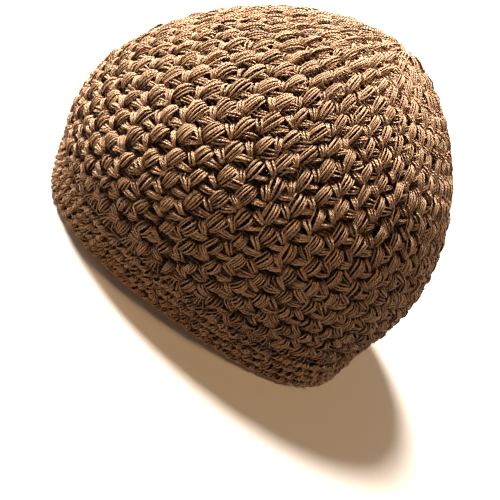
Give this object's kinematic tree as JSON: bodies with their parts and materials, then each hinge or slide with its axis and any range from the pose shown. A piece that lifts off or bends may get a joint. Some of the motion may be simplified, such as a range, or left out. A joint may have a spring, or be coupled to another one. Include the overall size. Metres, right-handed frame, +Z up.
{
  "type": "kufi",
  "caption": "Crocheted skull cap: a rounded dome of open raised rounds, closed at the crown, with a tight band round an open rim.",
  "frame": {"origin": "on the surface that the rim rests on, under the middle of the cap's length and width", "axes": "+X towards the front of the cap, +Y to its left side, +Z up to the crown"},
  "size_m": [0.1998, 0.1796, 0.147],
  "materials": {
    "crown_yarn": "plied cotton yarn, crocheted open",
    "band_yarn": "plied cotton yarn, crocheted tight"
  },
  "bodies": {
    "root": {"crown": "crown_yarn", "rim_band": "band_yarn"}
  },
  "joints": []
}
